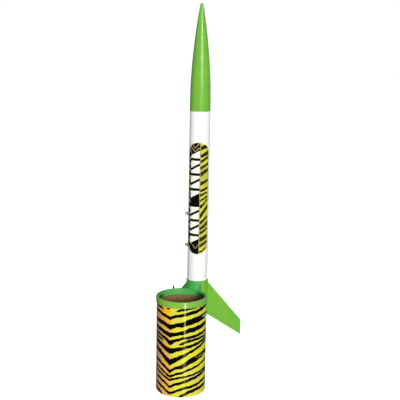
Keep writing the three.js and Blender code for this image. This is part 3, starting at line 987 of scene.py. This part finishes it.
def chevron_arms(point, left, right, widths):
    """The left and the right arm of a chevron, each as stops, heights and widths."""
    w_left, w_point, w_near, w_middle, w_far = widths
    left_heights = [point, *(point + rise for rise in left)]
    left_heights += [point + 1.25 * left[-1], point + 1.3 * left[-1]]
    right_heights = [point, *(point + rise for rise in right)]
    right_heights += [point + 1.12 * right[-1], point + 1.15 * right[-1]]
    left_widths = (w_point, 0.3 * w_point + 0.7 * w_left, w_left, w_left, w_left, 2.4)
    right_widths = (w_point, w_near, (w_near + w_middle) / 2, w_middle, w_middle, w_far, 3.2, 2.2)
    return (LEFT_STOPS, left_heights, left_widths), (RIGHT_STOPS, right_heights, right_widths)


def wrap_fields(angle, height):
    """The wrap's ink, pale streaks, angle right of the spine and height above the rim."""
    lean = (angle - WRAP_SPINE + 180) % 360 - 180
    level = above_rim(height)
    right, left = np.maximum(lean, 0), np.maximum(-lean, 0)
    arms = [chevron_arms(*chevron) for chevron in CHEVRONS]
    left_ink = deepest(left, level, [a[0] for a in arms] + LEFT_BRANCHES, 0, WRAP_SWELL)
    right_ink = deepest(right, level, [a[1] for a in arms] + RIGHT_BRANCHES, 30, WRAP_SWELL)
    ink = np.where(lean < 0, left_ink, right_ink)
    streak = np.where(lean < 0, OUTSIDE, deepest(right, level, STREAKS, 60))
    return {"ink": np.minimum(ink, -streak), "streak": streak, "lean": lean, "rise": level}


WRAP_LOW = heights("stabiliser_wrap")[0]
wrap = printed_sheet(
    "striped_wrap", CARD_OUTER + FIT, WRAP_OUTER, (WRAP_SPINE - 180, WRAP_SPINE + 180),
    lambda angle: WRAP_LOW, lambda angle: CARD_TOP, (384, 230), CARD_AXIS, wrap_fields,
)
piece("striped_wrap", wrap, WRAP_PRINT, "printed_wrap", "airframe", "stabiliser_wrap", sharp=60)

LABEL_CENTRE = 291
LABEL_HALF_ANGLE = 63
LABEL_END = 12 * MM
LABEL_LOW, LABEL_HIGH = heights("body_label")
LABEL_SEAM = 301
LABEL_POINT = 271
FLANK_EDGE = 243  # the peach flank's stripes end about here
BODY_TURN = math.radians(BODY_RADIUS / MM)  # millimetres round the body in one degree

# Stripes right of the label's seam: their heights at the seam and 13, 28 and 43 degrees
# beyond it, and their widths at the seam and at the far end, in millimetres.
LABEL_STRIPES = [
    ((162.0, 163.0, 165.0, 167.0), (2.4, 2.2)),
    ((169.3, 170.7, 172.5, 174.3), (4.4, 3.4)),
    ((177.0, 178.0, 179.4, 181.5), (5.6, 5.0)),
    ((185.2, 186.5, 188.2, 190.2), (3.4, 3.2)),
    ((190.6, 192.0, 194.0, 197.0), (3.4, 5.0)),
    ((197.2, 199.3, 202.0, 204.6), (4.6, 3.6)),
    ((204.4, 209.0, 213.0, 216.6), (6.6, 5.6)),
    ((217.6, 218.6, 222.4, 225.4), (5.2, 2.6)),
    ((224.8, 226.2, 227.9, 229.6), (2.4, 2.8)),
    ((231.0, 232.3, 233.7, 234.6), (3.4, 2.2)),
    ((236.9, 237.6, 238.8, 240.2), (3.4, 3.2)),
    ((245.6, 246.3, 247.8, 249.3), (4.8, 3.6)),
    ((256.0, 258.0, 260.3, 261.6), (5.8, 4.2)),
    ((263.8, 265.5, 267.1, 269.0), (3.8, 3.2)),
    ((271.6, 273.0, 275.0, 276.7), (3.8, 3.2)),
    ((278.4, 279.2, 280.8, 282.4), (3.6, 5.4)),
    ((287.6, 288.8, 289.6, 290.0), (5.2, 4.4)),
]
LABEL_STOPS = (0, 13, 28, 43, 60)

# Thin peach lines left of the seam: degrees from the chevrons' point and heights there.
LABEL_LINES = [
    ((-60, -28, 0, 22, 40), (293.4, 289.5, 283.8, 287.6, 290.4)),
    ((-60, -13, 0, 18, 40), (304.0, 291.6, 287.6, 292.4, 297.0)),
    ((-60, -36, -17, 0, 40), (289.0, 286.0, 280.6, 262.0, 262.0)),
    ((-60, -22, 10, 25, 40), (178.4, 174.2, 166.5, 171.2, 176.0)),
    ((-60, -40, -15, 0, 40), (172.0, 168.0, 162.2, 156.0, 150.0)),
]

# Black bands on the peach left flank: their heights on the flank and their widths.
FLANK_BANDS = [
    (171, 6), (181, 9), (190, 5), (197.5, 5), (206, 3), (211.5, 4), (219, 5), (227.5, 3.4),
    (232.6, 2.2), (237, 3.4), (246, 4), (257, 5), (264.5, 4), (271, 4), (279, 7), (288, 8),
]

BAR_GROUPS = ((178.5, 5), (234.0, 6))  # the middle of each group's lowest bar, and its bars
BAR_PITCH = 9.0
BAR_HALF_HEIGHT = 4.5
BAR_SLANT = 3.0
BAR_ENDS = (246, 298)  # in degrees


def label_bars(angle, level):
    """White bars in two groups, slanted, that narrow to one side, then to the other."""
    span = BAR_ENDS[1] - BAR_ENDS[0]
    along = (angle - BAR_ENDS[0]) / span
    ends = np.minimum(along, 1 - along) * span * BODY_TURN
    shape = np.full(angle.shape, OUTSIDE)
    for lowest, count in BAR_GROUPS:
        for k in range(count):
            share = along if k % 2 else 1 - along
            middle = lowest + BAR_PITCH * k + BAR_SLANT * (along - 0.5)
            half = BAR_HALF_HEIGHT * (0.3 + 0.7 * share)
            shape = np.maximum(shape, np.minimum(half - np.abs(level - middle), ends))
    return shape


def label_fields(angle, height):
    """The label's ink, its white bars, its ruled seam and the angle right of that seam."""
    level = above_rim(height)
    beyond = angle - LABEL_SEAM
    ink = np.full(angle.shape, -OUTSIDE)
    for stops, levels in LABEL_LINES:
        middle = np.interp(angle - LABEL_POINT, stops, levels)
        ink = np.minimum(ink, np.abs(level - middle) - 0.6)
    flank = np.full(angle.shape, OUTSIDE)
    for band, width in FLANK_BANDS:
        middle = band + (FLANK_EDGE + 2 - angle) * 0.12
        flank = np.maximum(flank, width / 2 - np.abs(level - middle))
    edge = (angle - FLANK_EDGE + 2.0 * np.sin(level * 0.9)) * 0.2
    ink = np.minimum(ink, np.maximum(flank, edge))
    stripes = []
    for levels, (near, far) in LABEL_STRIPES:
        levels = (*levels, 1.35 * levels[3] - 0.35 * levels[2])
        widths = (near, 0.6 * near + 0.4 * far, 0.3 * near + 0.7 * far, far, far)
        stripes.append((LABEL_STOPS, levels, widths))
    ink = np.where(beyond > 0, deepest(np.maximum(beyond, 0), level, stripes, 0), ink)
    rule = 0.32 - np.abs(beyond * BODY_TURN)
    return {"ink": ink, "bar": label_bars(angle, level), "rule": rule, "seam": beyond}


def label_rounding(angle):
    """How far the label's round ends draw back from its full length."""
    across = min(abs(angle - LABEL_CENTRE) / LABEL_HALF_ANGLE, 1.0)
    return LABEL_END * (1 - math.sqrt(1 - across ** 2))


label = printed_sheet(
    "striped_label", BODY_RADIUS + FIT, BODY_RADIUS + 0.15 * MM,
    (LABEL_CENTRE - LABEL_HALF_ANGLE, LABEL_CENTRE + LABEL_HALF_ANGLE),
    lambda angle: LABEL_LOW + label_rounding(angle),
    lambda angle: LABEL_HIGH - label_rounding(angle),
    (110, 520), BODY_AXIS, label_fields,
)
piece("striped_label", label, LABEL_PRINT, "printed_label", "airframe", "body_label", sharp=60)

# ---- motor mount and motor -----------------------------------------------------------

MOTOR_RADIUS = centre_and_radius("motor_casing")[1]
GRAIN_RADIUS = centre_and_radius("propellant_grain")[1]
MOTOR_TUBE_OUTER = centre_and_radius("motor_tube")[1]
MOTOR_TUBE_INNER = MOTOR_TUBE_OUTER - 0.35 * MM


def mount_pipe(name, node, inner, surface, slot, body="airframe"):
    """A rounded tube that fills a CAD tube's place about the body's axis."""
    shape = pipe(inner, centre_and_radius(node)[1], *heights(node), 96, BODY_AXIS)
    piece(name, shape, surface, slot, body, node)


def nozzle():
    """The clay nozzle, with a throat between two cones."""
    low, high = heights("motor_nozzle")
    throat = low + 0.55 * (high - low)
    exit_edge, throat_edge, fore_edge = 3.4 * MM, 1.6 * MM, 2.4 * MM
    outline = [
        (exit_edge, low), (GRAIN_RADIUS, low), (GRAIN_RADIUS, high), (fore_edge, high),
        (throat_edge, throat),
    ]
    return lathe(soften(outline, 0.4 * MM), 96, BODY_AXIS)


def pressed_disc(node):
    """A pressed cylinder with its rims broken, as it leaves the press."""
    low, high = heights(node)
    rim = 0.25 * MM
    outline = [
        (0.0, low), (GRAIN_RADIUS - rim, low), (GRAIN_RADIUS, low + rim),
        (GRAIN_RADIUS, high - rim), (GRAIN_RADIUS - rim, high), (0.0, high - rim / 2),
    ]
    return lathe(outline, 96, BODY_AXIS)


mount_pipe("mount_tube", "motor_tube", MOTOR_TUBE_INNER, MOTOR_PAPER, "motor_paper")
mount_pipe("mount_thrust_ring", "thrust_ring", 7.4 * MM, MOTOR_PAPER, "motor_paper")
for end in ("aft", "forward"):
    mount_pipe(
        "mount_ring_" + end, "centering_ring_" + end, MOTOR_TUBE_OUTER + FIT, RING_CARD,
        "kraft_card",
    )
mount_pipe(
    "casing_tube", "motor_casing", GRAIN_RADIUS + FIT, MOTOR_PAPER, "motor_paper", "motor",
)
piece("nozzle_plug", nozzle(), CLAY, "clay", "motor", "motor_nozzle")
for node, surface, slot in (
    ("propellant_grain", POWDER, "pressed_powder"), ("delay_grain", CLAY, "clay"),
    ("ejection_charge", POWDER, "pressed_powder"), ("ejection_cap", CLAY, "clay"),
):
    piece(node + "_disc", pressed_disc(node), surface, slot, "motor", node)

TAPE_THICKNESS = 0.06 * MM
tape = roll(
    MOTOR_RADIUS + 0.04 * MM, TAPE_THICKNESS + 0.01 * MM, 1.8, TAPE_THICKNESS,
    lambda turned: heights("motor_friction_tape"), 96, 2,
)
piece("friction_tape", tape, TAPE, "masking_tape", "motor", "motor_friction_tape")

# ---- recovery gear -------------------------------------------------------------------


def inside_body(x, y, height):
    """A point from millimetres off the body's axis and millimetres above the rim."""
    return Vector((BODY_AXIS[0] + x * MM, BODY_AXIS[1] + y * MM, RIM + height * MM))


def on_wall(angle, height, track):
    """A point at an angle in degrees, both lengths in millimetres."""
    way = outward(angle) * track
    return inside_body(way.x, way.y, height)


def crumpled_ball(node, seed):
    """A tissue square pressed into a ball, with ridges where it creased."""
    low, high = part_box(node)
    centre, half = (low + high) / 2, (high - low) / 2
    work = bmesh.new()
    bmesh.ops.create_icosphere(work, subdivisions=6, radius=1.0)
    for vertex in work.verts:
        way = vertex.co.normalized()
        crease = 0.0
        for scale, depth in ((2.1, 0.5), (4.3, 0.28), (8.7, 0.14)):
            crease += depth * abs(noise.noise(way * scale + Vector((seed, 0, 0))))
        vertex.co = centre + way * (1 - 0.75 * crease) * half
    mesh = bpy.data.meshes.new(node)
    work.to_mesh(mesh)
    work.free()
    return mesh


for seed, place in enumerate(("lower", "middle", "upper")):
    node = "recovery_wadding_" + place
    ball = crumpled_ball(node, 7.3 * seed)
    piece("wadding_" + place, ball, TISSUE, "tissue", "airframe", node, sharp=180)

PACK_AFT, PACK_FORE = heights("parachute_canopy")
PACK_RADIUS = centre_and_radius("parachute_canopy")[1]
FILM_THICKNESS = 0.04 * MM
FILM_PITCH = 0.2 * MM
ROLL_CORE = 0.8 * MM


def canopy_edges(turned):
    """The folded canopy's lower and upper edge, uneven as a hexagon folds."""
    dip = 1.5 * MM * (1 + noise.noise(Vector((turned * 0.9, 3.1, 0.0))))
    rise = 1.5 * MM * (1 + noise.noise(Vector((turned * 0.9, 0.0, 8.4))))
    return PACK_AFT + dip, PACK_FORE - rise


canopy_turns = (PACK_RADIUS - ROLL_CORE - 0.3 * MM) / FILM_PITCH
canopy = piece(
    "rolled_canopy",
    roll(ROLL_CORE, FILM_PITCH, canopy_turns, FILM_THICKNESS, canopy_edges, 48, 8, 0.25 * MM),
    FILM, "canopy_film", "nose", "parachute_canopy", sharp=180,
)

# The eye's, the lines' and the cord's radii and places are in millimetres, heights from the rim.
EYE_REACH = 3.6
EYE_WIRE = 0.9
EYE_HEIGHT = above_rim(heights("nose_base_cap")[0]) + EYE_WIRE + EYE_REACH


def base_cap():
    """The plug in the nose's open base, with the eye that the lines are tied to."""
    flange = BODY_BORE - 0.15 * MM
    spigot = BODY_BORE - NOSE_WALL - 0.2 * MM
    high = heights("nose_base_cap")[1]
    deck = high - 6 * MM
    low = deck - 1.6 * MM
    outline = [
        (0.0, low), (flange - 0.4 * MM, low), (flange, low + 0.4 * MM), (flange, deck),
        (spigot, deck), (spigot, high - 0.4 * MM), (spigot - 0.4 * MM, high),
        (spigot - 1.2 * MM, high), (spigot - 1.2 * MM, deck), (0.0, deck),
    ]
    top = above_rim(low) + 0.8
    path = [inside_body(-EYE_REACH, 0, top)]
    for k in range(25):
        turn = math.pi * k / 24
        x, drop = -EYE_REACH * math.cos(turn), EYE_REACH * math.sin(turn)
        path.append(inside_body(x, 0, EYE_HEIGHT - drop))
    path.append(inside_body(EYE_REACH, 0, top))
    return combine("base_cap", [lathe(outline, 96, BODY_AXIS), sweep(path, EYE_WIRE * MM, 20)])


piece("base_cap", base_cap(), LIME, "lime_plastic", "nose", "nose_base_cap")


PATH_STEP = 0.4 * MM
LINE_RADIUS = 0.3
STRAND_RADIUS = 0.24
WINDING_ENDS = (12.3, 25.7)  # above the roll's lower end
WINDING_STEPS = 32  # points in one turn
WINDING_SIDE = 270
LINES_HOLE = 1.2  # how far right of the eye's middle the lines pass through it


def shroud_lines():
    """The lines wound round the rolled canopy, and led on as one twisted leader to the eye."""
    low, high = (above_rim(PACK_AFT) + end for end in WINDING_ENDS)
    track = PACK_RADIUS / MM + 0.36
    count = round((high - low) / (2.04 * LINE_RADIUS)) * WINDING_STEPS
    winding = []
    for k in range(count + 1):
        angle = WINDING_SIDE - 360 * (count - k) / WINDING_STEPS
        winding.append(on_wall(angle, low + (high - low) * k / count, track))
    fore = above_rim(PACK_FORE)
    knots = [
        on_wall(WINDING_SIDE, high, track), on_wall(WINDING_SIDE, high + 12, track + 0.3),
        on_wall(WINDING_SIDE, fore - 1, track + 0.3),
    ]
    knots += [inside_body(LINES_HOLE, y, height) for y, height in (
        (-7.5, fore + 8), (-3.4, fore + 26), (-2.6, EYE_HEIGHT - 4), (0, EYE_HEIGHT - 0.6),
        (2.2, EYE_HEIGHT - 4), (0.4, EYE_HEIGHT - 7.5), (-2.3, EYE_HEIGHT - 8.6),
    )]
    shapes = [sweep(winding, LINE_RADIUS * MM, 8)]
    for strand in twisted(smooth_path(knots, PATH_STEP), 3, STRAND_RADIUS * MM, 4 * MM):
        shapes.append(sweep(strand, STRAND_RADIUS * MM, 8))
    shapes.append(knot(inside_body(LINES_HOLE, -2.6, EYE_HEIGHT - 8.6), 1.0 * MM, 0.4 * MM))
    return merge(shapes)


piece(
    "shroud_line_set", shroud_lines(), COTTON, "cotton_line", "nose", "shroud_lines", sharp=180,
)

CORD_RADIUS = 0.6
CORD_TRACK = 10.8
CORD_ANGLE = 45
CORD_STEP = 15
CORD_RUNS = 5
CORD_HOLE = -LINES_HOLE
PAD_ANGLE = 68  # degrees of the tube's wall that the mount pad covers
MOUNT_LOW, MOUNT_HIGH = heights("shock_cord_mount")


def braid(i, turn):
    """The swell of a braided cover's strands."""
    return 1 + 0.07 * math.cos(3 * turn) * math.cos(0.8 * i)


def folded_runs(low, high):
    """The cord's runs up and down the tube's wall, with a round turn between each two."""
    knots = []
    bend = CORD_TRACK * math.radians(CORD_STEP) / 2
    for run in range(CORD_RUNS):
        angle = CORD_ANGLE + CORD_STEP * run
        upwards = run % 2 == 0
        ends = (low, high) if upwards else (high, low)
        for k in range(5):
            knots.append(on_wall(angle, ends[0] + (ends[1] - ends[0]) * k / 4, CORD_TRACK))
        if run < CORD_RUNS - 1:
            for k in range(1, 6):
                turn = math.pi * k / 6
                across = CORD_STEP * (1 - math.cos(turn)) / 2
                beyond = bend * math.sin(turn) * (1 if upwards else -1)
                knots.append(on_wall(angle + across, ends[1] + beyond, CORD_TRACK))
    return knots


def shock_cord():
    """The elastic cord, from its mount by its folded runs and over the pack to the eye."""
    low, fore = above_rim(MOUNT_HIGH) + 2.6, above_rim(PACK_FORE)
    last_angle = CORD_ANGLE + CORD_STEP * (CORD_RUNS - 1)
    knots = [
        on_wall(CORD_ANGLE, height, CORD_TRACK + 0.5)
        for height in (above_rim(MOUNT_LOW) + 3, low - 4)
    ]
    knots += folded_runs(low, fore - 3.6)
    knots.append(on_wall(last_angle, fore + 8, 8.4))
    knots += [inside_body(CORD_HOLE, y, height) for y, height in (
        (4.4, fore + 24), (2.8, EYE_HEIGHT - 5), (0, EYE_HEIGHT - 0.8),
        (-2.3, EYE_HEIGHT - 4.5), (-0.6, EYE_HEIGHT - 9), (3, EYE_HEIGHT - 11),
    )]
    line = sweep(smooth_path(knots, PATH_STEP), CORD_RADIUS * MM, 18, braid)
    tied = knot(inside_body(CORD_HOLE, 3.4, EYE_HEIGHT - 11), 1.2 * MM, 0.5 * MM, 18, braid)
    return merge([line, tied])


cord = piece(
    "elastic_shock_cord", shock_cord(), ELASTIC, "elastic_cord", None, "shock_cord", sharp=180,
)
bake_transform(cord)


def mount_pad():
    """Paper folded in three over the cord's end and glued to the tube's wall."""
    outer = BODY_BORE - 0.1 * MM

    def place(u, v, skin):
        angle = CORD_ANGLE + PAD_ANGLE * (u - 0.5)
        over_cord = 0.8 * MM * math.exp(-((angle - CORD_ANGLE) / 5) ** 2)
        fold = 0.12 * MM * (abs(u - 0.5) < 0.4) * (1 + 0.3 * math.sin(9 * v))
        radius = outer if skin else outer - 0.4 * MM - over_cord - fold
        height = MOUNT_LOW + (MOUNT_HIGH - MOUNT_LOW) * v
        return Vector((*BODY_AXIS, height)) + outward(angle) * radius

    return shell(60, 16, place)


piece("cord_mount_pad", mount_pad(), TAPE, "masking_tape", "airframe", "shock_cord_mount")

# ---- stage, lights and camera --------------------------------------------------------


def stage_material():
    """Pale and matt from above; its underside is clear, so that it hides nothing from below."""
    s = Surface("pale_floor", Roughness=0.9, Specular_IOR_Level=0.0, Emission_Strength=0.8)
    s.shader.inputs["Emission Color"].default_value = (1, 1, 1, 1)
    under = s.node("ShaderNodeNewGeometry").outputs["Backfacing"]
    clear = s.node("ShaderNodeBsdfTransparent").outputs[0]
    sides = s.node("ShaderNodeMixShader", {0: under, 1: s.shader.outputs[0], 2: clear})
    s.tree.links.new(sides.outputs[0], s.tree.nodes["Material Output"].inputs["Surface"])
    return s.finish(s.mix(s.noise(3), colour("f6f6f6"), colour("fbfbfb")))


def stage():
    """A pale floor that the lower rim rests on."""
    reach = 6.0
    corners = [(-reach, -reach), (reach, -reach), (reach, reach), (-reach, reach)]
    mesh = bpy.data.meshes.new("floor")
    mesh.from_pydata([(x, y, RIM) for x, y in corners], [], [(0, 1, 2, 3)])
    mesh.materials.append(stage_material())
    floor = add("floor", mesh)
    floor.visible_diffuse = False
    floor.visible_glossy = False
    floor.visible_shadow = False


def light(kind, name, azimuth, elevation, power, tint):
    """Returns a light that shines from an azimuth and an elevation, and the way back to it."""
    data = bpy.data.lights.new(name, kind)
    data.energy = power
    data.color = tint
    made = add(name, data)
    a, e = math.radians(azimuth), math.radians(elevation)
    back = Vector((math.sin(a) * math.cos(e), -math.cos(a) * math.cos(e), math.sin(e)))
    made.rotation_euler = back.to_track_quat("Z", "Y").to_euler()
    return made, back


def sun_light(name, azimuth, elevation, spread, power, tint):
    """Even light from far away; spread is the width of its source in degrees."""
    made, _ = light("SUN", name, azimuth, elevation, power, tint)
    made.data.angle = math.radians(spread)
    return made


def strip_light():
    """A tall narrow light that shows only as the highlight down the glossy pieces."""
    made, back = light("AREA", "strip", 40.6, -20, 2.6, (1.0, 1.0, 0.85))
    made.data.shape = "RECTANGLE"
    made.data.size, made.data.size_y = 0.06, 0.26
    made.location = Vector((*BODY_AXIS, RIM + 0.1)) + back * 0.9
    made.visible_diffuse = False


def studio_world():
    """Soft grey light from all round, in front of a white backdrop."""
    world = bpy.data.worlds.new("studio")
    world.use_nodes = True
    nodes, links = world.node_tree.nodes, world.node_tree.links
    soft = nodes["Background"]
    soft.inputs["Color"].default_value = (0.95, 1.0, 1.0, 1)
    soft.inputs["Strength"].default_value = 0.18
    backdrop = nodes.new("ShaderNodeBackground")
    backdrop.inputs["Color"].default_value = (1, 1, 1, 1)
    seen = nodes.new("ShaderNodeLightPath")
    choice = nodes.new("ShaderNodeMixShader")
    links.new(seen.outputs["Is Camera Ray"], choice.inputs[0])
    links.new(soft.outputs[0], choice.inputs[1])
    links.new(backdrop.outputs[0], choice.inputs[2])
    links.new(choice.outputs[0], nodes["World Output"].inputs["Surface"])
    bpy.context.scene.world = world


def lights():
    """Plain soft studio light, mostly from the photo's right."""
    sun_light("main", MAIN_AZIMUTH, 14, 14, 3.3, (1.0, 0.985, 0.93))
    sun_light("left", -40, 25, 60, 0.6, (0.88, 1.0, 0.96))
    sun_light("overhead", 20, 80, 60, 0.4, (1.0, 1.0, 1.0))
    back = sun_light("back", 205, -9, 10, 2.0, (1.0, 1.0, 0.98))
    back.visible_glossy = False
    strip_light()
    studio_world()


CAMERA_AZIMUTH = 24.83  # angles in degrees, lengths in metres, LENS in millimetres
CAMERA_DISTANCE = 0.998
CAMERA_HEIGHT = 0.4089
CAMERA_PITCH = 10.51
CAMERA_PAN = -0.10
CAMERA_ROLL = 1.02
LENS = 75.74


def camera():
    """The camera at the photo's viewing angle."""
    data = bpy.data.cameras.new("camera")
    data.lens = LENS
    data.sensor_width = 36
    made = add("camera", data)
    azimuth = math.radians(CAMERA_AZIMUTH)
    place = Vector((
        BODY_AXIS[0] + CAMERA_DISTANCE * math.sin(azimuth),
        BODY_AXIS[1] - CAMERA_DISTANCE * math.cos(azimuth),
        RIM + CAMERA_HEIGHT,
    ))
    heading = Matrix.Rotation(azimuth + math.radians(CAMERA_PAN), 4, "Z")
    tilt = Matrix.Rotation(math.radians(90 - CAMERA_PITCH), 4, "X")
    roll = Matrix.Rotation(math.radians(CAMERA_ROLL), 4, "Z")
    made.matrix_world = Matrix.Translation(place) @ heading @ tilt @ roll
    bpy.context.scene.camera = made


stage()
lights()
camera()
bpy.context.scene.view_settings.view_transform = "Standard"
